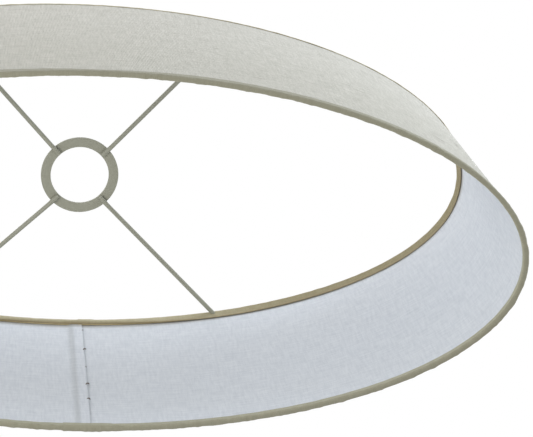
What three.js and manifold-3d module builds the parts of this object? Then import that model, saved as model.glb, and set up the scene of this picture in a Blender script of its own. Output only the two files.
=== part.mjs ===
// Oval, straight-sided lamp shade: a laminated cloth wall on two oval wires, with bound
// rims and a washer spider that is dropped a little below the top rim.
// Millimetres, +Z up, +X along the oval's length. The origin is the middle of the bottom rim.

import * as THREE from 'three';
import { mergeVertices } from 'three/addons/utils/BufferGeometryUtils.js';
import Module from 'manifold-3d';

const wasm = await Module();
wasm.setup();

// Driving dimensions of the whole shade, over its bound rims.
const SHADE_LENGTH = 576;
const SHADE_WIDTH = 245;
const SHADE_HEIGHT = 205;

// Sheets and tape. Depths are measured inwards from the outermost oval.
const CLEARANCE = 0.25;
const WIRE_TO_WALL = 0.3;
const TAPE_THICKNESS = 0.45;
const LINEN_THICKNESS = 0.4;
const PANEL_THICKNESS = 0.4;
const LINING_THICKNESS = 0.3;

// Wires.
const TOP_WIRE_RADIUS = 1.6;
const BOTTOM_WIRE_RADIUS = 1.0;
const WIRE_SIDES = 10;

// Heights that the binding tape covers on each side of a rim, and the turn between the facets
// where it wraps a wire. The linen runs up outside the top wire, so that the top tape only just
// has to reach over it.
const BOTTOM_TAPE_OUTSIDE = 6.5;
const BOTTOM_TAPE_INSIDE = 6.5;
const TOP_TAPE_OUTSIDE = 2.6;
const TOP_TAPE_INSIDE = 7.5;
const LINEN_BELOW_TOP = 2;
const WRAP_TURN = Math.PI / 6;

// Where the lining laps over its own end, on the +Y wall.
const LAP_START_X = -5.5;
const LAP_END_X = 5;
const LAP_ROOM = 0.35;
const LAP_STEP = 1e-4;

// Spider: a flat washer with a 42 mm lampholder hole, and four rods lapped under it.
const WASHER_HOLE_RADIUS = 21;
const WASHER_RADIUS = 28;
const WASHER_THICKNESS = 2;
const WASHER_DROP = 18.5;
const ROD_RADIUS = 1.6;
const ROD_SIDES = 10;
const ROD_STEPS = 12;
const ROD_WELD_GAP = 0.3;
const NOTCH_GAP = 0.3;
const ROD_START_RADIUS = 21.6;
const ROD_BEND_RADIUS = 30;
const ROD_RIM_ANGLE = THREE.MathUtils.degToRad(68);
const NOTCH_REACH = 9;

// Facets round the oval and round the washer.
const OVAL_SEGMENTS = 72;
const WASHER_SEGMENTS = 48;
const MERGE_DISTANCE = 1e-4;

const HALF_LENGTH = SHADE_LENGTH / 2;
const HALF_WIDTH = SHADE_WIDTH / 2;

// Depths of the layers, from the outside in.
const linenDepth = TAPE_THICKNESS + CLEARANCE;
const panelDepth = linenDepth + LINEN_THICKNESS + CLEARANCE;
const liningDepth = panelDepth + PANEL_THICKNESS + CLEARANCE;
const liningFace = liningDepth + LINING_THICKNESS;
const innerTapeDepth = liningFace + LINING_THICKNESS + LAP_ROOM;
const innerTapeFace = innerTapeDepth + TAPE_THICKNESS;

// The top wire lies against the linen, above the panel. The bottom wire lies under the wall's edge.
const topShoulderDepth = linenDepth + TOP_WIRE_RADIUS;
const topWireDepth = panelDepth + TOP_WIRE_RADIUS;
const topWireHeight = SHADE_HEIGHT - topShoulderDepth;
const bottomWireDepth = linenDepth + BOTTOM_WIRE_RADIUS;
const bottomWireHeight = linenDepth + BOTTOM_WIRE_RADIUS;
const wallBottom = bottomWireHeight + BOTTOM_WIRE_RADIUS + WIRE_TO_WALL;
const wallTop = topWireHeight - TOP_WIRE_RADIUS - WIRE_TO_WALL;
const linenTop = SHADE_HEIGHT - LINEN_BELOW_TOP;

const finishes = {
  linen: { color: '#cfcfc6', roughness: 0.9, metalness: 0 },
  panel: { color: '#f1f1ec', roughness: 0.55, metalness: 0 },
  lining: { color: '#cbd1d6', roughness: 0.85, metalness: 0 },
  tape: { color: '#a3a18e', roughness: 0.85, metalness: 0 },
  wire: { color: '#b9bab7', roughness: 0.4, metalness: 0.9 },
  paint: { color: '#95978a', roughness: 0.5, metalness: 0.1 },
};

const shade = new THREE.Group();

function addPart(name, geometry, finish) {
  const mesh = new THREE.Mesh(geometry, new THREE.MeshStandardMaterial(finishes[finish]));
  mesh.name = name;
  shade.add(mesh);
}

// A plan point on the oval at an angle, moved inwards along the oval's normal.
function ovalPoint(angle, depth) {
  const normal = new THREE.Vector2(HALF_WIDTH * Math.cos(angle), HALF_LENGTH * Math.sin(angle)).normalize();
  return new THREE.Vector2(
    HALF_LENGTH * Math.cos(angle) - normal.x * depth,
    HALF_WIDTH * Math.sin(angle) - normal.y * depth,
  );
}

// A closed section, given as [depth, height] pairs, swept once round the oval: it is turned
// as a round ring first, and each point is then laid on the oval at the same angle.
function ovalBand(section) {
  const turningRadius = 100;
  const profile = [...section, section[0]].map(
    ([depth, height]) => new THREE.Vector2(turningRadius - depth, height),
  );
  const band = new THREE.LatheGeometry(profile, OVAL_SEGMENTS);
  band.deleteAttribute('normal');
  band.deleteAttribute('uv');
  const positions = band.attributes.position;
  const turned = new THREE.Vector3();
  for (let i = 0; i < positions.count; i += 1) {
    turned.fromBufferAttribute(positions, i);
    const depth = turningRadius - Math.hypot(turned.x, turned.z);
    const place = ovalPoint(Math.atan2(-turned.z, turned.x), depth);
    positions.setXYZ(i, place.x, place.y, turned.y);
  }
  return outwards(mergeVertices(band, MERGE_DISTANCE));
}

// Signed volume of a closed mesh: negative when its faces point inwards.
function signedVolume(geometry) {
  const corner = [new THREE.Vector3(), new THREE.Vector3(), new THREE.Vector3()];
  let volume = 0;
  const { attributes, index } = geometry;
  for (let i = 0; i < index.count; i += 3) {
    corner.forEach((point, k) => point.fromBufferAttribute(attributes.position, index.getX(i + k)));
    volume += corner[0].dot(corner[1].cross(corner[2])) / 6;
  }
  return volume;
}

// Turns every triangle round when the faces point inwards.
function outwards(geometry) {
  if (signedVolume(geometry) < 0) {
    const order = geometry.index.array;
    for (let i = 0; i < order.length; i += 3) {
      [order[i], order[i + 1]] = [order[i + 1], order[i]];
    }
  }
  geometry.computeVertexNormals();
  return geometry;
}

// A circle as a section, for the wires.
function roundSection(depth, height, radius) {
  return Array.from({ length: WIRE_SIDES }, (_, i) => {
    const turn = (i / WIRE_SIDES) * 2 * Math.PI;
    return [depth + radius * Math.cos(turn), height + radius * Math.sin(turn)];
  });
}

// One face of a tape that wraps a wire, from its edge outside the shade to its edge inside.
// Its facets touch a circle round the wire, and outside the wire a circle at the shoulder's depth.
// Where the wrap stands out past the inside fold, the last facet tucks back under the wire to that
// fold's depth. up is 1 at the top and -1 below.
function wrapFace(wrap, radius, insideDepth) {
  const { wireDepth, shoulderDepth, wireHeight, up, outsideEnd, insideEnd } = wrap;
  const reach = radius / Math.cos(WRAP_TURN / 2);
  const corner = (turn) => [
    (turn > Math.PI / 2 ? shoulderDepth : wireDepth) + reach * Math.cos(turn),
    wireHeight + up * reach * Math.sin(turn),
  ];
  const face = [[shoulderDepth - radius, outsideEnd]];
  for (let turn = Math.PI - WRAP_TURN / 2; turn > -WRAP_TURN; turn -= WRAP_TURN) {
    face.push(corner(turn));
  }
  if (wireDepth + radius > insideDepth + CLEARANCE) {
    const [lastDepth, lastHeight] = corner(-1.5 * WRAP_TURN);
    const [underDepth, underHeight] = corner(-2.5 * WRAP_TURN);
    const share = (lastDepth - insideDepth) / (lastDepth - underDepth);
    face.push([lastDepth, lastHeight], [insideDepth, lastHeight + share * (underHeight - lastHeight)]);
  }
  face.push([insideDepth, insideEnd]);
  return face;
}

// The closed section of a binding tape: its outer face, then its inner face on the way back.
function tapeSection(wrap) {
  const innerRadius = wrap.wireRadius + CLEARANCE;
  const outer = wrapFace(wrap, innerRadius + TAPE_THICKNESS, innerTapeFace);
  const inner = wrapFace(wrap, innerRadius, innerTapeDepth);
  return [...outer, ...inner.reverse()];
}

// The inner outline of the lining, stepped inwards where the cloth laps over its own end.
function liningHole() {
  const lap = [LAP_END_X, LAP_START_X].map((x) => Math.acos(x / HALF_LENGTH));
  const lapFace = liningFace + LINING_THICKNESS;
  const points = [];
  for (let i = 0; i < OVAL_SEGMENTS; i += 1) {
    const angle = (i / OVAL_SEGMENTS) * 2 * Math.PI;
    const inLap = angle > lap[0] && angle < lap[1];
    points.push(ovalPoint(angle, inLap ? lapFace : liningFace));
    const next = ((i + 1) / OVAL_SEGMENTS) * 2 * Math.PI;
    if (lap[0] > angle && lap[0] < next) {
      points.push(ovalPoint(lap[0] - LAP_STEP, liningFace), ovalPoint(lap[0], lapFace));
    }
    if (lap[1] > angle && lap[1] < next) {
      points.push(ovalPoint(lap[1], lapFace), ovalPoint(lap[1] + LAP_STEP, liningFace));
    }
  }
  return points;
}

function ovalOutline(depth) {
  const turns = Array.from({ length: OVAL_SEGMENTS }, (_, i) => (i / OVAL_SEGMENTS) * 2 * Math.PI);
  return turns.map((angle) => ovalPoint(angle, depth));
}

// A sheet that stands upright round the oval, from the wall's bottom edge to its own top edge.
function wallSheet(outerDepth, innerOutline, top) {
  const plan = new THREE.Shape(ovalOutline(outerDepth));
  plan.holes.push(new THREE.Path(innerOutline));
  const sheet = new THREE.ExtrudeGeometry(plan, { depth: top - wallBottom, bevelEnabled: false });
  sheet.translate(0, 0, wallBottom);
  return sheet;
}

function toSolid(geometry) {
  const plain = geometry.clone();
  plain.deleteAttribute('normal');
  plain.deleteAttribute('uv');
  const merged = mergeVertices(plain, MERGE_DISTANCE);
  return new wasm.Manifold(new wasm.Mesh({
    numProp: 3,
    vertProperties: new Float32Array(merged.attributes.position.array),
    triVerts: new Uint32Array(merged.index.array),
  }));
}

function toGeometry(solid) {
  const mesh = solid.getMesh();
  const geometry = new THREE.BufferGeometry();
  geometry.setAttribute('position', new THREE.BufferAttribute(mesh.vertProperties, 3));
  geometry.setIndex(new THREE.BufferAttribute(mesh.triVerts, 1));
  geometry.computeVertexNormals();
  return geometry;
}

// A round bar along a list of points, joined by straight lines.
function roundBar(points, radius, steps) {
  const path = new THREE.CurvePath();
  for (let i = 1; i < points.length; i += 1) {
    path.add(new THREE.LineCurve3(points[i - 1], points[i]));
  }
  const section = new THREE.Shape();
  section.absarc(0, 0, radius, 0, 2 * Math.PI, false);
  return new THREE.ExtrudeGeometry(section, {
    steps,
    curveSegments: ROD_SIDES / 2,
    bevelEnabled: false,
    extrudePath: path,
  });
}

// Wall: the linen outside, the stiff translucent panel, and the white lining inside.
const linenInside = ovalOutline(linenDepth + LINEN_THICKNESS);
const panelInside = ovalOutline(panelDepth + PANEL_THICKNESS);
addPart('linen_cover', wallSheet(linenDepth, linenInside, linenTop), 'linen');
addPart('stiffener_panel', wallSheet(panelDepth, panelInside, wallTop), 'panel');
addPart('lining', wallSheet(liningDepth, liningHole(), wallTop), 'lining');

// Wires along the wall's two edges.
const topSection = roundSection(topWireDepth, topWireHeight, TOP_WIRE_RADIUS);
const bottomSection = roundSection(bottomWireDepth, bottomWireHeight, BOTTOM_WIRE_RADIUS);
addPart('top_wire', ovalBand(topSection), 'wire');
addPart('bottom_wire', ovalBand(bottomSection), 'wire');

// Bindings: the bottom tape is folded up on both sides of the wall round the thin wire. The top
// tape goes over the linen's edge, round the thicker wire, which stands out inside, and then in to
// the lining.
const bottomBinding = ovalBand(tapeSection({
  wireDepth: bottomWireDepth,
  shoulderDepth: bottomWireDepth,
  wireHeight: bottomWireHeight,
  wireRadius: BOTTOM_WIRE_RADIUS,
  up: -1,
  outsideEnd: BOTTOM_TAPE_OUTSIDE,
  insideEnd: BOTTOM_TAPE_INSIDE,
}));
addPart('bottom_binding', bottomBinding, 'tape');
let topBinding = toSolid(ovalBand(tapeSection({
  wireDepth: topWireDepth,
  shoulderDepth: topShoulderDepth,
  wireHeight: topWireHeight,
  wireRadius: TOP_WIRE_RADIUS,
  up: 1,
  outsideEnd: SHADE_HEIGHT - TOP_TAPE_OUTSIDE,
  insideEnd: SHADE_HEIGHT - TOP_TAPE_INSIDE,
})));

// Spider washer, with its lower face at the drop below the top rim.
const washerPlan = new THREE.Shape();
washerPlan.absarc(0, 0, WASHER_RADIUS, 0, 2 * Math.PI, false);
const lampholderHole = new THREE.Path();
lampholderHole.absarc(0, 0, WASHER_HOLE_RADIUS, 0, 2 * Math.PI, true);
washerPlan.holes.push(lampholderHole);
const washer = new THREE.ExtrudeGeometry(washerPlan, {
  depth: WASHER_THICKNESS,
  curveSegments: WASHER_SEGMENTS / 2,
  bevelEnabled: false,
});
washer.translate(0, 0, SHADE_HEIGHT - WASHER_DROP);
addPart('spider_ring', washer, 'paint');

// Spider rods: flat under the washer, then straight up to the top wire, where each end is
// coped to the wire. The binding is notched where a rod comes through it.
const wireCope = toSolid(ovalBand(roundSection(topWireDepth, topWireHeight, TOP_WIRE_RADIUS + ROD_WELD_GAP)));
const rodLevel = SHADE_HEIGHT - WASHER_DROP - ROD_WELD_GAP - ROD_RADIUS;
const rimPlan = ovalPoint(ROD_RIM_ANGLE, topWireDepth);
[[1, 1], [-1, 1], [-1, -1], [1, -1]].forEach(([sideX, sideY], i) => {
  const rim = new THREE.Vector3(sideX * rimPlan.x, sideY * rimPlan.y, topWireHeight);
  const outward = new THREE.Vector3(rim.x, rim.y, 0).normalize();
  const start = outward.clone().multiplyScalar(ROD_START_RADIUS).setZ(rodLevel);
  const bend = outward.clone().multiplyScalar(ROD_BEND_RADIUS).setZ(rodLevel);
  const rod = toSolid(roundBar([start, bend, rim], ROD_RADIUS, ROD_STEPS)).subtract(wireCope);
  const notchStart = bend.clone().sub(rim).normalize().multiplyScalar(NOTCH_REACH).add(rim);
  const notch = toSolid(roundBar([notchStart, rim], ROD_RADIUS + NOTCH_GAP, 1));
  topBinding = topBinding.subtract(notch);
  addPart(`spider_rod_${i + 1}`, toGeometry(rod), 'paint');
});
addPart('top_binding', toGeometry(topBinding), 'tape');

export default shade;
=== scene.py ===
import math

import bpy
import numpy as np
from bpy.props import FloatProperty, FloatVectorProperty, IntProperty, PointerProperty
from mathutils import Matrix, Vector


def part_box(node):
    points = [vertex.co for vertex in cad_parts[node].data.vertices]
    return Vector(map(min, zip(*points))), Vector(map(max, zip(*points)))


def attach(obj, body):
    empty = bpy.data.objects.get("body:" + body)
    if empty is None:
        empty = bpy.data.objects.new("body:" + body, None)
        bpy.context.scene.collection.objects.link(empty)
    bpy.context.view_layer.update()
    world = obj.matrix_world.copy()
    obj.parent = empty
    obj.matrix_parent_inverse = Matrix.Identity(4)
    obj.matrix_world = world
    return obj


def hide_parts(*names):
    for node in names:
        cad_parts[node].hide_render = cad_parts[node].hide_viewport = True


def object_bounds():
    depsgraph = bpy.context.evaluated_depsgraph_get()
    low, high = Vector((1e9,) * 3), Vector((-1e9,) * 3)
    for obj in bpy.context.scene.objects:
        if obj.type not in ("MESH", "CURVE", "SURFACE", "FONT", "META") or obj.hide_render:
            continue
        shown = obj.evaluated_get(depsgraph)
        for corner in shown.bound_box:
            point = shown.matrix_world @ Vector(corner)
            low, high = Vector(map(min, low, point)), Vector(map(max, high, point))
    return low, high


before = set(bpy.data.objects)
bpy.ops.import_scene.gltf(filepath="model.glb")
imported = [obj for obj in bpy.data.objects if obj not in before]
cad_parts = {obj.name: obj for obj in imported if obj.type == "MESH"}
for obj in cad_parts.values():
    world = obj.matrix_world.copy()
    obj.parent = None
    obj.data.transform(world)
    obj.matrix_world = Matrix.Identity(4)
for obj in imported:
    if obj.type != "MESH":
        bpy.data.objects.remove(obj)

bl_info = {
    "name": "Oval Lamp Shade",
    "version": (1, 0, 0),
    "blender": (4, 5, 0),
    "location": "3D View > Sidebar > Lamp Shade",
    "description": "Builds an oval linen lamp shade with bound rims and a dropped washer spider",
    "category": "Object",
}

BODY = "root"
MM = 0.001
LAP_RAMP = 4 * MM           # length over which the end of a lapped cloth rises off its start
LAYING_GAP = 0.05 * MM      # room left between a tape's edge and the cloth that it lies on
FOLD_STAND_OFF = 0.65 * MM  # how far a tape's fold stands off the lining, before its edge lies down
PANEL_GAP = 0.5 * MM        # between the stiff panel's butted ends
LINEN_START = -4 * MM       # where the linen starts, from the seam
FIRST_TACK = 47 * MM        # from the lining's foot
LAST_TACK = 13 * MM         # from the lining's top
TAPE_POINTS = 38            # across a tape's section

CAD_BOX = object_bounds()
LINEN_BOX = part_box("linen_cover")
PANEL_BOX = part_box("stiffener_panel")
LINING_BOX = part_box("lining")
TOP_WIRE_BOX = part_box("top_wire")
BOTTOM_WIRE_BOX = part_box("bottom_wire")
TOP_TAPE_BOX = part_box("top_binding")
BOTTOM_TAPE_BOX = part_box("bottom_binding")
WASHER_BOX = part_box("spider_ring")


def linear(hex_colour):
    """An sRGB hex colour as linear red, green, blue and alpha."""
    values = [int(hex_colour[i:i + 2], 16) / 255 for i in (1, 3, 5)]
    return [v / 12.92 if v <= 0.04045 else ((v + 0.055) / 1.055) ** 2.4 for v in values] + [1.0]


def length_property(name, description, millimetres):
    return FloatProperty(
        name=name, description=description, default=millimetres * MM, min=0.0,
        soft_max=5 * millimetres * MM, unit="LENGTH", precision=5)


def number_property(name, description, default, **limits):
    return FloatProperty(name=name, description=description, default=default, **limits)


def angle_property(name, description, degrees):
    return number_property(name, description, math.radians(degrees), subtype="ANGLE")


def colour_property(name, description, hex_colour):
    return FloatVectorProperty(
        name=name, description=description, default=linear(hex_colour), size=4, min=0, max=1,
        subtype="COLOR")


class ShadeWallSettings(bpy.types.PropertyGroup):
    """Sizes and colours of the linen, the stiff panel and the lining."""

    linen_thickness: length_property("Linen", "Thickness of the linen cover", 0.4)
    panel_thickness: length_property("Panel", "Thickness of the stiff panel", 0.4)
    lining_thickness: length_property("Lining", "Thickness of the lining", 0.3)
    linen_lap: length_property("Linen lap", "Lap over its own start", 12)
    lining_lap: length_property("Lining lap", "Lap over its own start", 8)
    linen_thread: length_property("Linen thread", "Spacing of the linen's threads", 1.0)
    lining_thread: length_property("Lining thread", "Spacing of the lining's threads", 0.8)
    seam_foot: length_property("Seam foot", "Where the free edge meets the floor, along +X", 2.3)
    seam_slant: number_property("Seam slant", "Lean of the lining's ends", 0.028)
    seam_rise: length_property("Seam rise", "How far the lining's upper end stands out", 0.8)
    slub_density: number_property("Slubs", "Raised slubs in each square metre of linen", 2600, min=0)
    seed: IntProperty(name="Seed", description="Seed of everything uneven in the cloth", default=11)
    linen_light: colour_property("Linen light", "The linen's paler yarn", "#bbb9b0")
    linen_dark: colour_property("Linen dark", "The linen's darker, greener yarn", "#939187")
    lining_light: colour_property("Lining light", "The lining's paler yarn", "#d1d5da")
    lining_dark: colour_property("Lining dark", "The lining's darker yarn", "#bfc4cb")
    panel_colour: colour_property("Panel", "The milky styrene panel", "#ecece6")


class ShadeRimSettings(bpy.types.PropertyGroup):
    """Sizes and colours of the wires and the binding tapes."""

    tape_thickness: length_property("Tape", "Thickness of the binding tape", 0.45)
    tape_clearance: length_property("Clearance", "Room between a wire and its tape", 0.25)
    top_outside: length_property("Top outside", "Tape height outside the top rim", 2.3)
    bottom_outside: length_property("Bottom outside", "Tape height outside the bottom rim", 6.0)
    top_lap: length_property("Top lap", "Lap over its own start", 9)
    bottom_lap: length_property("Bottom lap", "Lap over its own start", 30)
    tape_start: length_property("Tape start", "Where both tapes start, from the seam", 14)
    tape_thread: length_property("Tape thread", "Spacing of the tape's threads", 0.7)
    pucker: length_property("Pucker", "Height of the tape's small puckers", 0.06)
    top_fullness: length_property("Top fullness", "How far the top tape stands off its wire", 0.5)
    top_edge_rise: length_property("Top edge rise", "Rise of the top tape's inner edge", 2.3)
    top_edge_drop: length_property("Top edge drop", "Drop of that edge nearer the ends", 5.4)
    bottom_edge_rise: length_property("Bottom edge rise", "Rise of the outer edge", 3.0)
    bottom_fullness: length_property("Bottom fullness", "Bowing of the bottom tape's fold", 0.5)
    bottom_pucker: length_property("Bottom pucker", "Puckers along the bottom tape's fold", 0.2)
    tape_light: colour_property("Tape light", "The tape's paler thread", "#989685")
    tape_dark: colour_property("Tape dark", "The tape's darker thread", "#807d6a")
    wire_colour: colour_property("Wire", "Bare drawn steel", "#b4b5b3")


class ShadeSpiderSettings(bpy.types.PropertyGroup):
    """Sizes and colours of the washer, the rods and the seam's tacks."""

    hole_radius: length_property("Hole", "Radius of the lampholder hole", 21)
    edge_radius: length_property("Edge", "Rounding of the washer's stamped edges", 0.35)
    rod_radius: length_property("Rod", "Radius of each rod", 1.6)
    rod_inner: length_property("Rod start", "Distance of a rod's inner end from the middle", 21.6)
    rod_bend: length_property("Rod bend", "Distance of a rod's bend from the middle", 30)
    rod_angle: angle_property("Rod angle", "Place on the oval where a rod ends, from +X", 68)
    paint_colour: colour_property("Paint", "Sage grey stoved paint", "#929181")
    tack_gaps: IntProperty(name="Tack gaps", description="Gaps between the seam's tacks", default=4, min=1)
    tack_growth: length_property("Tack growth", "How unevenly the tacks are spaced", 16)
    tack_seed: IntProperty(name="Tack seed", description="Seed of the tacks' sizes", default=561)
    tack_colour: colour_property("Tack", "Dark tacking thread", "#6b625a")


class ShadeStageSettings(bpy.types.PropertyGroup):
    """The floor, the lights and the camera's place."""

    floor_drop: length_property("Floor", "How far the floor is below the shade", 2000.0)
    sky: number_property("Sky", "Strength of the white surround", 1.0, min=0)
    key: number_property("Key", "Power of the cool light at the right", 13.4, min=0)
    fill: number_property("Fill", "Power of the light overhead", 4.8, min=0)
    under: number_property("Under", "Power of the light underneath", 5.0, min=0)
    elevation: angle_property("Elevation", "How steeply the camera looks up", 70.99)
    pan: angle_property("Pan", "Where the camera looks along the floor, from +Y towards +X", 27.12)
    roll: angle_property("Roll", "Turn of the camera about its line of sight", -24.27)
    distance: length_property("Distance", "From the camera to the washer", 1672.7)
    aside: number_property("Aside", "Shift of the camera to its right", 0.13508, unit="LENGTH")
    above: number_property("Above", "Shift of the camera to its top", -0.03135, unit="LENGTH")
    lens: number_property("Lens", "Focal length in millimetres", 156.19, min=1)


def run_along(line):
    """The distance along a line of points to each of them."""
    return np.concatenate([[0], np.cumsum(np.linalg.norm(np.diff(line, axis=0), axis=1))])


def unit(vectors):
    return vectors / np.linalg.norm(vectors, axis=-1, keepdims=True)


class Oval:
    """The shade's outermost plan line. A place on it is a distance run from the middle of the +Y wall
    towards +X, with a depth inwards along the line's normal."""

    def __init__(self, half_length, half_width, samples=14400):
        self.half = np.array([half_length, half_width])
        self.angle = math.pi / 2 - np.linspace(0, 2 * math.pi, samples + 1)
        line = self.half * np.stack([np.cos(self.angle), np.sin(self.angle)], axis=1)
        self.run = run_along(line)
        self.perimeter = self.run[-1]

    def points(self, distance, depth, height):
        angle = np.interp(np.mod(distance, self.perimeter), self.run, self.angle)
        turn = np.stack([np.cos(angle), np.sin(angle)], axis=-1)
        normal = unit(turn * self.half[::-1])
        plan = turn * self.half - normal * depth[..., None]
        return np.concatenate([plan, height[..., None]], axis=-1)


OVAL = Oval(CAD_BOX[1].x, CAD_BOX[1].y)


def depth_of(box):
    """How far a node's outer face is inside the shade's outermost line."""
    return CAD_BOX[1].x - box[1].x


def ease(share):
    """A smooth step from 0 to 1."""
    share = np.clip(share, 0, 1)
    return share * share * (3 - 2 * share)


def ripple(around, along, wavelength, seed, waves=14):
    """Even, seeded waviness over a strip, about 1 high, from waves of mixed directions and lengths."""
    random = np.random.default_rng(seed)
    total = np.zeros(np.broadcast(around, along).shape)
    for _ in range(waves):
        heading = random.uniform(0, math.tau)
        number = math.tau / (wavelength * random.uniform(0.6, 1.8))
        phase = random.uniform(0, math.tau)
        total += np.sin((around * math.cos(heading) + along * math.sin(heading)) * number + phase)
    return total / math.sqrt(waves)


def resample(line, count):
    """The line as evenly spaced points, with the distance along it to each."""
    run = run_along(line)
    even = np.linspace(0, run[-1], count)
    return np.stack([np.interp(even, run, line[:, k]) for k in range(2)], axis=1), even


def soft_line(corners, softness, count, steps=1200):
    """A line through the corners with its turns rounded off: evenly spaced points, their normals and the
    distance along it to each."""
    line, fine = resample(np.array(corners, float), steps + 1)
    width = max(1, int(softness / fine[-1] * steps)) | 1
    padded = np.concatenate([
        2 * line[0] - line[width // 2:0:-1], line, 2 * line[-1] - line[-2:-width // 2 - 1:-1]])
    line = np.stack([np.convolve(padded[:, k], np.ones(width) / width, "valid") for k in range(2)], axis=1)
    line, even = resample(line, count)
    along = unit(np.gradient(line, axis=0))
    return line, np.stack([along[:, 1], -along[:, 0]], axis=1), even


def new_object(name, data):
    """An object in the scene with this data."""
    piece = bpy.data.objects.new(name, data)
    bpy.context.scene.collection.objects.link(piece)
    return piece


def mesh_object(name, points, faces, uvs=None):
    """A smooth-shaded object with its faces turned outwards. uvs holds one pair for each face corner."""
    mesh = bpy.data.meshes.new(name)
    mesh.from_pydata(points.tolist(), [], faces)
    if uvs is not None:
        mesh.uv_layers.new(name="Cloth").data.foreach_set("uv", np.array(uvs, np.float32).ravel())
    mesh.calc_loop_triangles()
    corners = np.array([points[list(t.vertices)] for t in mesh.loop_triangles])
    if np.einsum("ij,ij->", corners[:, 0], np.cross(corners[:, 1], corners[:, 2])) < 0:
        mesh.flip_normals()
    mesh.shade_smooth()
    mesh.set_sharp_from_angle(angle=math.radians(50))
    return new_object(name, mesh)


def ring_faces(columns, count, closed=False):
    """Quads between rings of points, each ring with the same count. A closed tube also joins its last ring
    to its first; an open one has a cap at each end."""
    spans = columns if closed else columns - 1
    faces = []
    for i in range(spans):
        here, there = i * count, (i + 1) % columns * count
        for j in range(count):
            k = (j + 1) % count
            faces.append((here + j, here + k, there + k, there + j))
    if not closed:
        last = (columns - 1) * count
        faces += [tuple(range(count - 1, -1, -1)), tuple(range(last, last + count))]
    return faces


def strip_object(name, rings, run, girth):
    """A strip of cloth: closed sections one after another, with a cap at each end. run is how far along
    the strip each section is, and girth how far round the section each point is."""
    columns, count = rings.shape[:2]
    uvs = []
    for i in range(columns - 1):
        for j in range(count):
            uvs += [(run[a], girth[b]) for a, b in ((i, j), (i, j + 1), (i + 1, j + 1), (i + 1, j))]
    uvs += [(run[0], girth[j]) for j in range(count - 1, -1, -1)]
    uvs += [(run[-1], girth[j]) for j in range(count)]
    return mesh_object(name, rings.reshape(-1, 3), ring_faces(columns, count), uvs)


def lapped_strip(name, line, normal, thickness, start, lap, direction=1, rise=0.0, sink=0.0, columns=720,
                 lift=None, slant=0.0, shape=None):
    """A strip that starts at a distance from the seam, runs once round the oval and laps over its start.

    line and normal give its middle line in depth and height. rise is how far the upper end stands out
    along the normal, and sink how far the lower end goes the other way. lift adds to both faces. slant
    leans the ends with height, and shape moves the middle line for each distance from the seam."""
    run = np.linspace(0, OVAL.perimeter + lap, columns)
    near_ends = np.linspace(0, 0.06, 61)
    run = np.unique(np.concatenate([run, near_ends, run[-1] - near_ends]))
    offset = rise * ease((run - (OVAL.perimeter - LAP_RAMP)) / LAP_RAMP)
    offset -= sink * (1 - ease((run - lap) / LAP_RAMP))
    fade = ease(run / 0.02) * ease((run[-1] - run) / 0.02)
    girth = run_along(line)
    offset = offset[:, None] + (0 if lift is None else fade[:, None] * lift(run[:, None], girth[None, :]))
    distance = (start + direction * run)[:, None] + slant * line[None, :, 1] + np.zeros_like(offset)
    middle = np.broadcast_to(line[None], distance.shape + (2,)) + (0 if shape is None else shape(distance))
    faces = []
    for side in (0.5, -0.5):
        moved = middle + normal[None] * (offset + side * thickness)[..., None]
        faces.append(OVAL.points(distance, moved[..., 0], moved[..., 1]))
    rings = np.concatenate([faces[0], faces[1][:, ::-1]], axis=1)
    round_girth = np.concatenate([girth, girth[-1] + thickness + girth, [2 * girth[-1] + 2 * thickness]])
    return strip_object(name, rings, run, round_girth)


def add_node(tree, kind, inputs=None, **settings):
    """Adds a node, sets its properties, and sets or links its inputs by name or number."""
    node = tree.nodes.new(kind)
    for key, value in settings.items():
        setattr(node, key, value)
    for key, value in (inputs or {}).items():
        if isinstance(value, bpy.types.NodeSocket):
            tree.links.new(value, node.inputs[key])
        else:
            node.inputs[key].default_value = value
    return node


def first_output(tree, kind, inputs=None, **settings):
    return add_node(tree, kind, inputs, **settings).outputs[0]


def math_node(tree, operation, *values):
    return first_output(tree, "ShaderNodeMath", dict(enumerate(values)), operation=operation)


def vector_node(tree, operation, *values):
    return first_output(tree, "ShaderNodeVectorMath", dict(enumerate(values)), operation=operation)


def combine(tree, **parts):
    """A vector from its named parts."""
    return first_output(tree, "ShaderNodeCombineXYZ", parts)


def new_material(name):
    material = bpy.data.materials.new(name)
    material.use_nodes = True
    material.node_tree.nodes.clear()
    return material, material.node_tree


def finish_material(material, shader_inputs, height, distance):
    """Gives a material its surface shader, with a bump, and its output."""
    tree = material.node_tree
    bump = first_output(tree, "ShaderNodeBump", {"Height": height, "Distance": distance})
    shader = first_output(tree, "ShaderNodeBsdfPrincipled", {**shader_inputs, "Normal": bump})
    add_node(tree, "ShaderNodeOutputMaterial", {"Surface": shader})
    return material


def cloth_place(tree):
    """The cloth's own UV map, in metres: X along the strip and Y round its section."""
    place = first_output(tree, "ShaderNodeUVMap", uv_map="Cloth")
    return add_node(tree, "ShaderNodeSeparateXYZ", {0: place}).outputs


def noise(tree, place, scale, detail, roughness=0.5):
    return first_output(tree, "ShaderNodeTexNoise", {
        "Vector": place, "Scale": scale, "Detail": detail, "Roughness": roughness})


def object_place(tree):
    return add_node(tree, "ShaderNodeTexCoord").outputs["Object"]


def mix_colours(tree, share, first, second, blend="MIX"):
    return add_node(
        tree, "ShaderNodeMix", {0: share, 6: first, 7: second}, data_type="RGBA", blend_type=blend).outputs[2]


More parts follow.
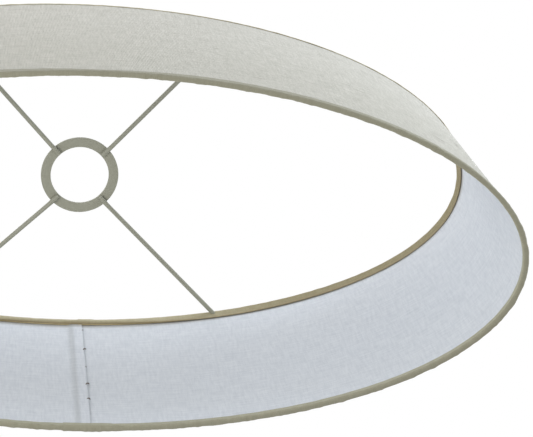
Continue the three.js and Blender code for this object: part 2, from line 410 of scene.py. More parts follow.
def weave(tree, spacing, slub_length, slub_width, seed):
    """A plain weave on the cloth's own UV map. Gives the threads' height and a tone from 0 to 1 that runs
    unevenly along each warp and weft thread, as slubby yarn does."""
    place = cloth_place(tree)
    across, up = place["X"], place["Y"]
    waves = [math_node(tree, "SINE", math_node(tree, "MULTIPLY", c, math.pi / spacing)) for c in (across, up)]
    over = math_node(tree, "MULTIPLY_ADD", math_node(tree, "MULTIPLY", *waves), 3.0, 0.5)
    over = first_output(tree, "ShaderNodeClamp", {"Value": over})
    ridges = [math_node(tree, "ABSOLUTE", w) for w in waves]
    tones = []
    for long_way, short_way, offset in ((up, across, seed), (across, up, seed + 40)):
        stretched = combine(
            tree, X=math_node(tree, "DIVIDE", short_way, slub_width),
            Y=math_node(tree, "DIVIDE", long_way, slub_length), Z=float(offset))
        tones.append(noise(tree, stretched, 1.0, 3.0, 0.6))
    tone = first_output(tree, "ShaderNodeMix", {0: over, 2: tones[1], 3: tones[0]})
    height = first_output(tree, "ShaderNodeMix", {0: over, 2: ridges[1], 3: ridges[0]})
    return height, tone


def woven_material(name, colours, spacing, slubs, seed, contrast, surface, bump, tints):
    """Cloth whose colour goes from dark to light with the tone of its slubby yarns. slubs holds their length
    and width, and surface the roughness, specular level and sheen. Each tint gives a UV axis, two places on
    it, and the factors that the colour is multiplied by, which come in from the first to the second."""
    material, tree = new_material(name)
    light, dark = colours
    roughness, specular, sheen = surface
    height, tone = weave(tree, spacing, *slubs, seed)
    share = first_output(tree, "ShaderNodeMapRange", {
        "Value": tone, "From Min": 0.5 - contrast, "From Max": 0.5 + contrast})
    colour = mix_colours(tree, share, dark, light)
    place = cloth_place(tree)
    for axis, begin, end, factors in tints:
        share = first_output(tree, "ShaderNodeMapRange", {
            "Value": place[axis], "From Min": begin, "From Max": end}, interpolation_type="SMOOTHSTEP")
        factor = mix_colours(tree, share, (1, 1, 1, 1), (*factors, 1))
        colour = mix_colours(tree, 1.0, colour, factor, "MULTIPLY")
    relief = math_node(tree, "ADD", height, math_node(tree, "MULTIPLY", tone, 1.5))
    return finish_material(material, {
        "Base Color": colour, "Roughness": roughness, "Specular IOR Level": specular,
        "Sheen Weight": sheen, "Sheen Roughness": 0.5}, relief, bump)


def linen_material(settings):
    """Plain-woven linen, oatmeal with a grey-green cast. Thick and thin yarns give a broken grid of short
    pale and dark streaks. Painted light makes the cloth a little paler and cooler towards its upper edge.
    Real threads are about 0.5 mm apart: drawn at twice that so that they show."""
    return woven_material(
        "Slubby plain-woven linen, laminated", (settings.linen_light, settings.linen_dark),
        settings.linen_thread, (16 * MM, 1.8 * MM), settings.seed, 0.24, (0.92, 0.25, 0.15), 0.25 * MM,
        # painted light: the linen is drawn paler and cooler towards its top
        [("Y", 20 * MM, 200 * MM, (1.1, 1.1, 1.12))])


def lining_material(settings):
    """Fine cotton and viscose lining, cool white. The weave is closer and flatter than the linen's, so it
    reads as a soft sheet with faint upright and level streaks. Its threads are drawn coarser than real
    ones so that they show. A painted grey shade lies on the slope where the lining climbs over the end of
    the layer beneath, a little before its own free edge. A painted warm shade darkens the last few
    millimetres at the top, under the tape's edge."""
    edge = OVAL.perimeter + settings.lining_lap
    top = LINING_BOX[1].z - LINING_BOX[0].z
    step_shade = (0.8, 0.8, 0.79)
    return woven_material(
        "Cool white woven lining, laminated", (settings.lining_light, settings.lining_dark),
        settings.lining_thread, (15 * MM, 1.8 * MM), settings.seed + 7, 0.14, (0.85, 0.3, 0.1), 0.12 * MM,
        # painted shade on the slope where the lapped end climbs over the layer beneath, taken back just past
        # it
        [("X", edge - 12.5 * MM, edge - 9 * MM, step_shade),
         ("X", edge - 8 * MM, edge - 5 * MM, [1 / factor for factor in step_shade]),
         # painted warm shade under the top tape's edge
         ("Y", top - 9 * MM, top - 1.5 * MM, (0.6, 0.56, 0.49))])


def tape_material(name, settings, seed, tone, tints):
    """Woven cotton binding tape, dyed sage grey. Close ribs cross it and the dye takes unevenly. tone paints
    the whole tape lighter or darker, and the tints it is given paint light and shade across its width,
    darker and browner in the tuck towards the inner edge."""
    # tone is painted light and shade: it draws the same tape paler at the top rim and darker at the bottom
    # one
    colours = [[c * tone for c in colour[:3]] + [1.0] for colour in (settings.tape_light, settings.tape_dark)]
    return woven_material(
        name, colours, settings.tape_thread, (5 * MM, 1.4 * MM), seed, 0.4, (0.88, 0.25, 0.1), 0.12 * MM,
        tints)


def panel_material(settings):
    """Extruded styrene sheet, milky and faintly glossy, with the fine lines of the rollers."""
    material, tree = new_material("Milky styrene sheet, extruded")
    lines = first_output(tree, "ShaderNodeMapping", {"Vector": object_place(tree), "Scale": (40, 40, 900)})
    return finish_material(
        material, {"Base Color": settings.panel_colour, "Roughness": 0.35, "IOR": 1.59},
        noise(tree, lines, 1.0, 2.0), 0.02 * MM)


def wire_material(settings):
    """Drawn mild steel wire, bare under the tape, with the die's fine lines."""
    material, tree = new_material("Mild steel wire, drawn")
    grain = noise(tree, object_place(tree), 700.0, 3.0)
    rough = first_output(tree, "ShaderNodeMapRange", {"Value": grain, "To Min": 0.3, "To Max": 0.5})
    return finish_material(
        material, {"Base Color": settings.wire_colour, "Metallic": 1.0, "Roughness": rough}, grain, 0.02 * MM)


def paint_material(settings):
    """Stoved paint on mild steel, satin sage grey: an eggshell surface with a slight orange peel and soft
    clouding where the coat is thinner."""
    material, tree = new_material("Satin sage paint on mild steel, stoved")
    clouds = noise(tree, object_place(tree), 120.0, 3.0)
    thin = [c * 0.92 for c in settings.paint_colour[:3]] + [1.0]
    colour = mix_colours(tree, clouds, thin, settings.paint_colour)
    peel = noise(tree, object_place(tree), 350.0, 1.0)
    return finish_material(material, {"Base Color": colour, "Roughness": 0.5, "IOR": 1.45}, peel, 0.02 * MM)


def thread_material(settings):
    """Twisted cotton thread, dark and matt."""
    material, tree = new_material("Dark cotton thread, twisted")
    return finish_material(
        material, {"Base Color": settings.tack_colour, "Roughness": 0.9, "Specular IOR Level": 0.2},
        noise(tree, object_place(tree), 2500.0, 2.0), 0.05 * MM)


def new_tree(name, inputs, over_mesh=False):
    """A geometry node tree with named inputs, given with their defaults, and a material. One that works
    over a mesh takes that first."""
    tree = bpy.data.node_groups.new(name, "GeometryNodeTree")
    if over_mesh:
        tree.interface.new_socket(name="Geometry", in_out="INPUT", socket_type="NodeSocketGeometry")
    for label, default in inputs.items():
        kind = {float: "NodeSocketFloat", int: "NodeSocketInt", tuple: "NodeSocketVector"}[type(default)]
        socket = tree.interface.new_socket(name=label, in_out="INPUT", socket_type=kind)
        socket.default_value = default
    tree.interface.new_socket(name="Material", in_out="INPUT", socket_type="NodeSocketMaterial")
    tree.interface.new_socket(name="Geometry", in_out="OUTPUT", socket_type="NodeSocketGeometry")
    return tree, tree.nodes.new("NodeGroupInput").outputs


def end_tree(tree, geometry, material):
    """Ends a tree in Realize Instances and Set Material."""
    real = first_output(tree, "GeometryNodeRealizeInstances", {0: geometry})
    finished = first_output(tree, "GeometryNodeSetMaterial", {"Geometry": real, "Material": material})
    add_node(tree, "NodeGroupOutput", {0: finished})
    return tree


def run_tree(name, tree, values, base=None):
    """Evaluates a tree on a base mesh, or on an empty one, and keeps the result as a plain mesh object."""
    host = new_object(name + "_host", base or bpy.data.meshes.new(name + "_base"))
    modifier = host.modifiers.new("Nodes", "NODES")
    modifier.node_group = tree
    for item in tree.interface.items_tree:
        if item.in_out == "INPUT" and item.name in values:
            modifier[item.identifier] = values[item.name]
    evaluated = host.evaluated_get(bpy.context.evaluated_depsgraph_get())
    mesh = bpy.data.meshes.new_from_object(evaluated)
    mesh.name = name
    bpy.data.objects.remove(host)
    mesh.shade_smooth()
    return new_object(name, mesh)


def circle_node(tree, points, radius):
    return first_output(tree, "GeometryNodeCurvePrimitiveCircle", {"Resolution": points, "Radius": radius})


def oval_wire_tree():
    """Bends a round wire along the oval at a depth and a height."""
    tree, given = new_tree("Oval Wire", {
        "Half Size": (0.28, 0.12, 0), "Depth": 0.002, "Height": 0.1, "Radius": 0.0016, "Points": 720,
        "Sides": 20})
    circle = circle_node(tree, given["Points"], 1.0)
    turn = first_output(tree, "GeometryNodeInputPosition")
    half = add_node(tree, "ShaderNodeSeparateXYZ", {0: given["Half Size"]}).outputs
    swapped = combine(tree, X=half["Y"], Y=half["X"])
    normal = vector_node(tree, "NORMALIZE", vector_node(tree, "MULTIPLY", turn, swapped))
    inwards = first_output(
        tree, "ShaderNodeVectorMath", {0: normal, "Scale": given["Depth"]}, operation="SCALE")
    plan = vector_node(tree, "SUBTRACT", vector_node(tree, "MULTIPLY", turn, given["Half Size"]), inwards)
    placed = first_output(tree, "GeometryNodeSetPosition", {
        "Geometry": circle, "Position": vector_node(tree, "ADD", plan, combine(tree, Z=given["Height"]))})
    section = circle_node(tree, given["Sides"], given["Radius"])
    wire = first_output(tree, "GeometryNodeCurveToMesh", {"Curve": placed, "Profile Curve": section})
    return end_tree(tree, wire, given["Material"])


def random_node(tree, kind, low, high, seed):
    """A random number or vector for each point, between two limits."""
    return add_node(
        tree, "FunctionNodeRandomValue", {"Min": low, "Max": high, "Seed": seed}, data_type=kind,
    ).outputs["Value"]


def slub_tree():
    """Scatters raised slubs over cloth: slender closed spindles, half of them upright and half level."""
    tree, given = new_tree("Cloth Slubs", {
        "Density": 5000.0, "Seed": 0, "Shortest": (0.0015, 0.0002, 0.00004),
        "Longest": (0.006, 0.00035, 0.0001)}, over_mesh=True)
    scatter = add_node(tree, "GeometryNodeDistributePointsOnFaces", {
        "Mesh": given["Geometry"], "Density": given["Density"], "Seed": given["Seed"]}).outputs
    spindle = first_output(tree, "GeometryNodeMeshUVSphere", {"Segments": 6, "Rings": 7, "Radius": 1.0})
    flip = add_node(tree, "FunctionNodeRandomValue", {
        "Probability": 0.5, "Seed": given["Seed"]}, data_type="BOOLEAN").outputs["Value"]
    upright = combine(tree, Z=1.0)
    level = vector_node(tree, "CROSS_PRODUCT", scatter["Normal"], upright)
    heading = first_output(
        tree, "GeometryNodeSwitch", {"Switch": flip, "False": upright, "True": level}, input_type="VECTOR")
    standing = first_output(
        tree, "FunctionNodeAlignRotationToVector", {"Vector": scatter["Normal"]}, axis="Z")
    laid = first_output(tree, "FunctionNodeAlignRotationToVector", {
        "Rotation": standing, "Vector": heading}, axis="X", pivot_axis="Z")
    size = random_node(tree, "FLOAT_VECTOR", given["Shortest"], given["Longest"], given["Seed"])
    slubs = first_output(tree, "GeometryNodeInstanceOnPoints", {
        "Points": scatter["Points"], "Instance": spindle, "Rotation": laid, "Scale": size})
    return end_tree(tree, slubs, given["Material"])


def tack_tree():
    """Puts short thread tacks along a line, each an arch of thread across it. Start, Middle and End are the
    handles of a curve, so a middle nearer the start makes the gaps grow towards the end."""
    tree, given = new_tree("Thread Tacks", {
        "Start": (0, 0, 0), "Middle": (0, 0, 0.08), "End": (0, 0, 0.2), "Gaps": 4, "Reach": 0.0013,
        "Thread": 0.00042, "Wander": 0.0015, "Seed": 3})
    line = first_output(tree, "GeometryNodeCurveQuadraticBezier", {
        "Resolution": given["Gaps"], "Start": given["Start"], "Middle": given["Middle"], "End": given["End"]})
    points = first_output(tree, "GeometryNodeCurveToPoints", {"Curve": line}, mode="EVALUATED")
    arch = first_output(tree, "GeometryNodeCurveQuadraticBezier", {
        "Resolution": 8, "Start": (-1, 0.35, 0), "Middle": (0, -1.1, 0.15), "End": (1, 0.35, 0.3)})
    reach = combine(tree, **{axis: given["Reach"] for axis in "XYZ"})
    sized = first_output(tree, "GeometryNodeTransform", {"Geometry": arch, "Scale": reach})
    section = circle_node(tree, 8, given["Thread"])
    thread = first_output(
        tree, "GeometryNodeCurveToMesh", {"Curve": sized, "Profile Curve": section, "Fill Caps": True})
    lean = random_node(tree, "FLOAT_VECTOR", (-0.2, -0.5, -0.2), (0.2, 0.5, 0.2), given["Seed"])
    size = random_node(tree, "FLOAT", 0.25, 1.05, given["Seed"])
    tacks = first_output(tree, "GeometryNodeInstanceOnPoints", {
        "Points": points, "Instance": thread, "Rotation": lean, "Scale": size})
    high = combine(tree, Z=given["Wander"])
    shift = random_node(
        tree, "FLOAT_VECTOR", vector_node(tree, "MULTIPLY", high, (-1, -1, -1)), high, given["Seed"])
    moved = first_output(tree, "GeometryNodeTranslateInstances", {"Instances": tacks, "Translation": shift})
    return end_tree(tree, moved, given["Material"])


def give(piece, material, slot, *nodes):
    """Gives a piece its material and its body, and hides the CAD nodes that it stands for. slot is not used.
    """
    piece.data.materials.clear()
    piece.data.materials.append(material)
    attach(piece, BODY)
    if nodes:
        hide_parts(*nodes)


def upright_line(box, thickness, rows):
    """The middle line of a sheet in a CAD node's place, in depth and height, with its outward normal."""
    depth = depth_of(box) + thickness / 2
    line = np.stack([np.full(rows, depth), np.linspace(box[0].z, box[1].z, rows)], axis=1)
    return line, np.tile([-1.0, 0.0], (rows, 1))


class SHADE_OT_linen_cover(bpy.types.Operator):
    """Wrap the linen cover round the outside and lap it at the back"""

    bl_idname = "shade.linen_cover"
    bl_label = "Linen Cover"

    def execute(self, context):
        settings = context.scene.shade_wall
        thickness = settings.linen_thickness
        line, normal = upright_line(LINEN_BOX, thickness, 28)
        cover = lapped_strip(
            "linen_cover_cloth", line, normal, thickness, start=LINEN_START, lap=settings.linen_lap,
            direction=-1, rise=0.24 * MM, sink=0.2 * MM,
            lift=lambda run, girth: 0.05 * MM * ripple(run, girth, 0.045, settings.seed))
        material = linen_material(settings)
        give(cover, material, "linen", "linen_cover")
        outside = self.outside(line[0, 0] - thickness / 2, line[2:-2, 1])
        slubs = run_tree("linen_slubs", slub_tree(), {
            "Density": settings.slub_density, "Seed": settings.seed, "Material": material}, outside)
        give(slubs, material, "linen")
        return {"FINISHED"}

    def outside(self, depth, heights, around=360):
        """A bare mesh over the linen's outer face, for the slubs to be scattered on."""
        count = len(heights)
        places = OVAL.points(
            np.linspace(0, OVAL.perimeter, around + 1)[:, None] + 0 * heights,
            np.full((around + 1, count), depth), np.tile(heights, (around + 1, 1)))
        mesh = bpy.data.meshes.new("linen_outside")
        mesh.from_pydata(places.reshape(-1, 3).tolist(), [], [
            (i * count + j, i * count + j + 1, (i + 1) * count + j + 1, (i + 1) * count + j)
            for i in range(around) for j in range(count - 1)])
        return mesh


class SHADE_OT_stiffener_panel(bpy.types.Operator):
    """Bend the stiff panel round the oval, with its ends butted at the seam"""

    bl_idname = "shade.stiffener_panel"
    bl_label = "Stiffener Panel"

    def execute(self, context):
        settings = context.scene.shade_wall
        line, normal = upright_line(PANEL_BOX, settings.panel_thickness, 4)
        panel = lapped_strip(
            "stiffener_sheet", line, normal, settings.panel_thickness, start=0.0, lap=-PANEL_GAP,
            columns=480)
        give(panel, panel_material(settings), "panel", "stiffener_panel")
        return {"FINISHED"}


class SHADE_OT_lining(bpy.types.Operator):
    """Line the inside with white cloth, lapped over its own start at the seam and tacked"""

    bl_idname = "shade.lining"
    bl_label = "Lining and Tacks"

    def execute(self, context):
        settings = context.scene.shade_wall
        thickness = settings.lining_thickness
        line, normal = upright_line(LINING_BOX, thickness, 28)
        lining = lapped_strip(
            "lining_cloth", line, -normal, thickness, start=settings.seam_foot - settings.lining_lap,
            lap=settings.lining_lap, rise=settings.seam_rise, slant=settings.seam_slant,
            lift=lambda run, girth: 0.04 * MM * ripple(run, girth, 0.05, settings.seed + 3))
        give(lining, lining_material(settings), "lining", "lining")
        spider = context.scene.shade_spider
        depth = depth_of(LINING_BOX) + 1.5 * thickness + settings.seam_rise
        low, high = LINING_BOX[0].z + FIRST_TACK, LINING_BOX[1].z - LAST_TACK
        handles = np.array([low, (low + high) / 2 - spider.tack_growth, high])
        places = OVAL.points(settings.seam_foot + settings.seam_slant * handles, np.full(3, depth), handles)
        thread = thread_material(spider)
        tacks = run_tree("seam_tacks", tack_tree(), {
            "Start": tuple(places[0]), "Middle": tuple(places[1]), "End": tuple(places[2]),
            "Gaps": spider.tack_gaps, "Seed": spider.tack_seed, "Material": thread})
        give(tacks, thread, "lining")
        return {"FINISHED"}


class SHADE_OT_wires(bpy.types.Operator):
    """Bend the two round wires along the wall's edges"""

    bl_idname = "shade.wires"
    bl_label = "Rim Wires"

    def execute(self, context):
        material = wire_material(context.scene.shade_rim)
        tree = oval_wire_tree()
        for name, box, node in (
            ("top_rim_wire", TOP_WIRE_BOX, "top_wire"), ("bottom_rim_wire", BOTTOM_WIRE_BOX, "bottom_wire")):
            wire = run_tree(name, tree, {
                "Half Size": (CAD_BOX[1].x, CAD_BOX[1].y, 0.0), "Depth": wire_depth(box),
                "Height": wire_height(box), "Radius": wire_radius(box), "Material": material})
            give(wire, material, "wire", node)
        return {"FINISHED"}


def wire_radius(box):
    """A wire's radius: its section is a decagon, which is lower than the circle that it stands in."""
    return (box[1].z - box[0].z) / 2 / math.sin(math.radians(72))


def wire_depth(box):
    return depth_of(box) + wire_radius(box)


def wire_height(box):
    return (box[0].z + box[1].z) / 2


def wrap_corners(box, radius, up, ends, touch, fold_depth):
    """Corners of the line that a tape follows over a wire, from its edge outside to its edge inside.
    touch gives the depths at which the two edges lie against the wall."""
    height = wire_height(box)
    inner, outer = wire_depth(box), depth_of(LINEN_BOX) + wire_radius(box)
    corners = [(touch[0], ends[0]), (outer - radius, ends[0] * 0.35 + (height + up * 0.4 * MM) * 0.65)]
    tucks = inner + radius > fold_depth + 0.3 * MM
    for degrees in range(170, -75 if tucks else -1, -10):
        turn = math.radians(degrees)
        centre = outer if degrees > 90 else inner
        corners.append((centre + radius * math.cos(turn), height + up * radius * math.sin(turn)))
    corners.append((fold_depth, ends[1] + up * 1.2 * MM))
    corners.append((touch[1], ends[1]))
    return corners


def quarter_share(distance):
    """0 at the middles of the long walls, rising evenly to 1 at the ends of the oval."""
    return 1 - np.abs(1 - np.mod(distance / OVAL.perimeter * 4, 2))


def top_tape_shape(line, settings):
    """Makes the top tape's wrap fuller along the long walls, and its inner edge lower and pressed flatter
    near the ends. At the seam the edge stands clear of the lining's lap."""
    depth, height = line[:, 0], line[:, 1]
    below = height[-1] + 3 * MM - height
    inside = depth > depth.mean()
    loose = np.exp(-((depth - depth.max()) / (1.6 * MM)) ** 2)
    edge = ease(below / (3 * MM)) * inside
    pressed = ease(below / (1.5 * MM)) * inside * (depth - depth[-1])

    def shape(distance):
        share = quarter_share(distance)
        full = settings.top_fullness * (1 - 1.3 * np.exp(-((share - 0.78) / 0.2) ** 2))
        drop = settings.top_edge_drop * (ease((share - 0.05) / 0.35) - 0.6 * ease((share - 0.9) / 0.1))
        across = (distance + OVAL.perimeter / 2) % OVAL.perimeter - OVAL.perimeter / 2
        clear = 0.45 * MM * np.exp(-((across - 4 * MM) / (9 * MM)) ** 4)
        flat = 0.8 * ease((share - 0.08) / 0.25)
        return np.stack([loose * full + edge * clear - flat * pressed, -edge * drop], axis=-1)

    return shape


def bottom_tape_shape(line, settings):
    """Bows the bottom tape's fold out a little, puckers its lowest line, as hand gluing leaves it, and
    lets its outer edge stand higher away from the middles of the long walls."""
    low = np.exp(-((line[:, 1] - line[:, 1].min()) / (1.5 * MM)) ** 2)
    side = np.sign(line[:, 0] - wire_depth(BOTTOM_WIRE_BOX))
    edge = ease((line[:, 1] - 1.5 * MM) / (settings.bottom_outside - 1.5 * MM)) * (side < 0)

    def shape(distance):
        pucker = settings.bottom_pucker * ripple(distance, 0 * distance, 0.006, 5)
        share = quarter_share(distance)
        rise = settings.bottom_edge_rise * (ease(share / 0.2) + 0.4 * ease((share - 0.5) / 0.3))
        return np.stack([
            low * side * (settings.bottom_fullness + pucker), edge * rise - low * np.abs(pucker)], axis=-1)

    return shape


def laid_width(line, shape):
    """A tape's width when it is laid flat: the mean length of its shaped middle line."""
    distance = np.linspace(0, OVAL.perimeter, 400)[:, None] + 0 * line[None, :, 0]
    moved = line + shape(distance)
    return np.linalg.norm(np.diff(moved, axis=1), axis=2).sum(axis=1).mean()


class SHADE_OT_bindings(bpy.types.Operator):
    """Wrap the sage tapes round both rims, lapped at the seam"""

    bl_idname = "shade.bindings"
    bl_label = "Binding Tapes"

    def execute(self, context):
        settings = context.scene.shade_rim
        self.bind(
            context, "top_binding", TOP_WIRE_BOX, 1, settings.top_lap, top_tape_shape,
            ends=(TOP_TAPE_BOX[1].z - settings.top_outside, TOP_TAPE_BOX[0].z + settings.top_edge_rise),
            # tone 1.48 paints the top tape paler all over: painted light
            tone=1.48, along=self.darker_browner_ends(),
            # painted light and shade across the top tape: a cool painted highlight on its outer, upper side,
            # painted light on the wire's inner bulge, painted shade darker and browner in the tuck, and
            # painted light again at its inner edge
            light_and_shade_round_it=(
                (0.3, 0.1, (1.6, 1.62, 1.75)), (0.38, 0.5, (1.2, 1.13, 1.03)),
                (0.68, 0.9, (0.66, 0.6, 0.52)), (0.92, 1.0, (1.5, 1.45, 1.35))))
        self.bind(
            context, "bottom_binding", BOTTOM_WIRE_BOX, -1, settings.bottom_lap, bottom_tape_shape,
            ends=(settings.bottom_outside, BOTTOM_TAPE_BOX[1].z),
            # tone 0.82 paints the bottom tape darker all over: painted shade; its inner side is painted
            # lighter, as the lit inside of the shade
            tone=0.82, along=[], light_and_shade_round_it=((0.45, 0.7, (1.6, 1.6, 1.56)),))
        return {"FINISHED"}

    def darker_browner_ends(self):
        """Tints that make a tape darker and browner towards the two ends of the oval, and take it back again.
        """
        quarter, brown = OVAL.perimeter / 4, (0.66, 0.63, 0.57)
        tints = []
        for middle in (1, 3):
            tints.append(("X", (middle - 0.95) * quarter, (middle - 0.5) * quarter, brown))
            tints.append(("X", (middle + 0.5) * quarter, (middle + 0.95) * quarter, [1 / c for c in brown]))
        return tints

    def bind(self, context, node, wire, up, lap, bend, ends, tone, along, light_and_shade_round_it):
        """One tape over one wire. ends gives the heights of its outer and inner edges. tone paints the whole
        tape lighter or darker, and the tints round it paint light and shade on it from the outer edge to the
        inner one, in shares of its width."""
        settings = context.scene.shade_rim
        thickness = settings.tape_thickness
        lining = depth_of(LINING_BOX) + context.scene.shade_wall.lining_thickness
        fold = lining + FOLD_STAND_OFF + thickness / 2
        radius = wire_radius(wire) + settings.tape_clearance + thickness / 2
        touch = (depth_of(LINEN_BOX) - thickness / 2, lining + thickness / 2 + LAYING_GAP)
        corners = wrap_corners(wire, radius, up, ends, touch, fold)
        line, normal, girth = soft_line(corners, 0.6 * MM, TAPE_POINTS)
        if ((line - line.mean(axis=0)) * normal).sum() < 0:
            normal = -normal
        shape, seed = bend(line, settings), 21 + up
        tape = lapped_strip(
            node + "_tape", line, normal, thickness, start=settings.tape_start, lap=lap, direction=-1,
            rise=0.8 * thickness, columns=1100, shape=shape,
            lift=lambda run, across: settings.pucker * ripple(run, across * 0.5, 0.009, seed))
        tints = along + [
            ("Y", begin * girth[-1], end * girth[-1], factors) for begin, end, factors in light_and_shade_round_it]
        title = "Sage cotton binding tape, woven and folded, " + node.removesuffix("_binding")
        give(tape, tape_material(title, settings, seed, tone, tints), "tape", node)
        laid_width(line, shape)


# How far along its two straight stretches a rod has its sections, closer where its shape changes.
ROD_SHARES_INNER = (0, 0.004, 0.015, 0.05, 0.2, 0.35, 0.5, 0.62, 0.72, 0.8, 0.88, 0.95)
ROD_SHARES_OUTER = (0.004, 0.012, 0.025, 0.05, 0.1, 0.25, 0.5, 0.75, 0.97, 1.0)


class SHADE_OT_spider(bpy.types.Operator):
    """Make the flat washer and the four rods that are lapped and welded under it"""

    bl_idname = "shade.spider"
    bl_label = "Spider"

    def execute(self, context):
        settings = context.scene.shade_spider
        material = paint_material(settings)
        self.washer(settings, material)
        for number in range(1, 5):
            self.rod(settings, material, number)
        return {"FINISHED"}

    def washer(self, settings, material):
        """A turned ring with its stamped edges rounded."""
        outer, edge, segments = WASHER_BOX[1].x, settings.edge_radius, 180
        low, high = WASHER_BOX[0].z, WASHER_BOX[1].z
        section = []
        for radius, height, first in (
            (outer - edge, low + edge, -90), (outer - edge, high - edge, 0),
            (settings.hole_radius + edge, high - edge, 90), (settings.hole_radius + edge, low + edge, 180)):
            for step in range(5):
                turn = math.radians(first + 22.5 * step)
                section.append((radius + edge * math.cos(turn), height + edge * math.sin(turn)))
        section = np.array(section)
        angle = np.linspace(0, math.tau, segments, endpoint=False)[:, None]
        rings = np.stack([
            section[None, :, 0] * np.cos(angle), section[None, :, 0] * np.sin(angle),
            np.tile(section[:, 1], (segments, 1))], axis=-1)
        washer = mesh_object(
            "spider_washer", rings.reshape(-1, 3), ring_faces(segments, len(section), closed=True))
        give(washer, material, "paint", "spider_ring")

    def rod(self, settings, material, number):
        """A straight rod, pressed a little flat where it is welded under the washer."""
        node = f"spider_rod_{number}"
        low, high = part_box(node)
        side = Vector((1 if high.x > -low.x else -1, 1 if high.y > -low.y else -1))
        depth, height = wire_depth(TOP_WIRE_BOX), wire_height(TOP_WIRE_BOX)
        angle = settings.rod_angle
        normal = Vector((OVAL.half[1] * math.cos(angle), OVAL.half[0] * math.sin(angle))).normalized()
        rim = Vector((
            side.x * (OVAL.half[0] * math.cos(angle) - normal.x * depth),
            side.y * (OVAL.half[1] * math.sin(angle) - normal.y * depth), height))
        outward = Vector((rim.x, rim.y, 0)).normalized()
        level = Vector((0, 0, low.z + settings.rod_radius))
        start, bend = outward * settings.rod_inner + level, outward * settings.rod_bend + level
        end = rim + (bend - rim).normalized() * settings.rod_radius
        points = [start.lerp(bend, share) for share in ROD_SHARES_INNER]
        points += [bend.lerp(end, share) for share in ROD_SHARES_OUTER]
        points = np.array([tuple(point) for point in points])
        along = unit(np.gradient(points, axis=0))
        across = unit(np.cross(along, [0, 0, 1.0]))
        frames = np.stack([across, np.cross(across, along)], axis=1)
        run = np.linalg.norm(points - points[0], axis=1)
        pressed = 1 - ease((run - 4 * MM) / (6 * MM))
        nose = np.sqrt(np.clip(1 - (1 - np.clip(run / (0.6 * MM), 0, 1)) ** 2, 0.3, 1))
        turn = np.linspace(0, math.tau, 24, endpoint=False)
        circle = np.stack([np.cos(turn), np.sin(turn)], axis=1) * settings.rod_radius
        scale = np.stack([(1 + 0.1 * pressed) * nose, (1 - 0.12 * pressed) * nose], axis=1)
        rings = points[:, None] + np.einsum("nsk,nkx->nsx", circle[None] * scale[:, None], frames)
        rod = mesh_object(f"spider_arm_{number}", rings.reshape(-1, 3), ring_faces(*rings.shape[:2]))
        give(rod, material, "paint", node)


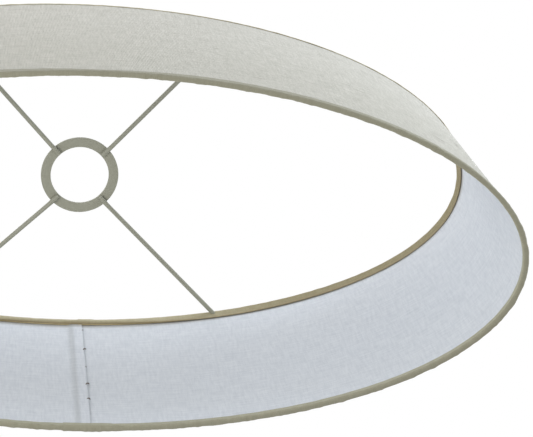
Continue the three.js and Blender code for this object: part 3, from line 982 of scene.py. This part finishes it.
class SHADE_OT_stage(bpy.types.Operator):
    """Set up the pale floor, the soft lights and the camera"""

    bl_idname = "shade.stage"
    bl_label = "Stage"

    def execute(self, context):
        settings = context.scene.shade_stage
        self.camera(context.scene, settings)
        self.surround(context.scene, settings)
        self.lights(settings)
        return {"FINISHED"}

    def camera(self, scene, settings):
        """Looks up at the washer from below and in front."""
        e, p, r = settings.elevation, settings.pan, settings.roll
        forward = Vector((math.sin(p) * math.cos(e), math.cos(p) * math.cos(e), math.sin(e)))
        right = Vector((math.cos(p), -math.sin(p), 0))
        top = right.cross(forward)
        right, top = right * math.cos(r) + top * math.sin(r), top * math.cos(r) - right * math.sin(r)
        camera = new_object("camera", bpy.data.cameras.new("camera"))
        place = Vector((0, 0, WASHER_BOX[0].z)) - forward * settings.distance
        place += right * settings.aside + top * settings.above
        camera.matrix_world = Matrix.Translation(place) @ Matrix((right, top, -forward)).transposed().to_4x4()
        camera.data.lens = settings.lens
        camera.data.clip_start = 0.05
        camera.data.clip_end = 50
        scene.camera = camera

    def surround(self, scene, settings):
        """A white surround and a pale matt floor."""
        world = bpy.data.worlds.new("white surround")
        world.use_nodes = True
        world.node_tree.nodes["Background"].inputs["Color"].default_value = (1, 1, 1, 1)
        world.node_tree.nodes["Background"].inputs["Strength"].default_value = settings.sky
        scene.world = world
        scene.view_settings.view_transform = "Standard"
        material, tree = new_material("Pale matt floor paint")
        finish_material(
            material, {"Base Color": linear("#eeeeec"), "Roughness": 0.9},
            noise(tree, object_place(tree), 30.0, 3.0), 0.1 * MM)
        half, level = 60.0, -settings.floor_drop
        mesh = bpy.data.meshes.new("floor")
        mesh.from_pydata(
            [(-half, -half, level), (half, -half, level), (half, half, level), (-half, half, level)], [],
            [(0, 1, 2, 3)])
        mesh.materials.append(material)
        new_object("floor", mesh)

    def lights(self, settings):
        """A cool light low at the right, and two that reach inside, one overhead and one underneath."""
        for name, power, size, place, colour in (
            ("key", settings.key, 0.9, (1.1, -0.7, 0.2), (0.88, 0.96, 1.06)),
            ("fill", settings.fill, 0.9, (-0.3, -0.4, 1.1), (1.0, 0.99, 0.98)),
            ("under", settings.under, 0.7, (-0.6, -0.1, -0.7), (1.0, 1.0, 1.0)),
        ):
            light = bpy.data.lights.new(name, "AREA")
            light.energy, light.shape, light.size, light.color = power, "DISK", size, colour
            lamp = new_object(name, light)
            lamp.location = place
            lamp.rotation_euler = (Vector((0, 0, 0.1)) - lamp.location).to_track_quat("-Z", "Y").to_euler()


class SHADE_PT_panel(bpy.types.Panel):
    """The steps of making the shade, in order"""

    bl_label = "Lamp Shade"
    bl_idname = "SHADE_PT_panel"
    bl_space_type = "VIEW_3D"
    bl_region_type = "UI"
    bl_category = "Lamp Shade"

    def draw(self, context):
        for group in SETTINGS:
            box = self.layout.box()
            for name in SETTINGS[group].__annotations__:
                box.prop(getattr(context.scene, group), name)
        for operator in STEPS:
            self.layout.operator(operator.bl_idname)


SETTINGS = {
    "shade_wall": ShadeWallSettings,
    "shade_rim": ShadeRimSettings,
    "shade_spider": ShadeSpiderSettings,
    "shade_stage": ShadeStageSettings,
}
STEPS = (
    SHADE_OT_stage,
    SHADE_OT_stiffener_panel,
    SHADE_OT_linen_cover,
    SHADE_OT_lining,
    SHADE_OT_wires,
    SHADE_OT_bindings,
    SHADE_OT_spider,
)


def register():
    for cls in (*SETTINGS.values(), *STEPS, SHADE_PT_panel):
        bpy.utils.register_class(cls)
    for name, cls in SETTINGS.items():
        setattr(bpy.types.Scene, name, PointerProperty(type=cls))


def unregister():
    for name in SETTINGS:
        delattr(bpy.types.Scene, name)
    for cls in reversed((*SETTINGS.values(), *STEPS, SHADE_PT_panel)):
        bpy.utils.unregister_class(cls)


def main():
    register()
    for operator in STEPS:
        getattr(bpy.ops.shade, operator.bl_idname.split(".")[1])()


if __name__ == "__main__":
    main()
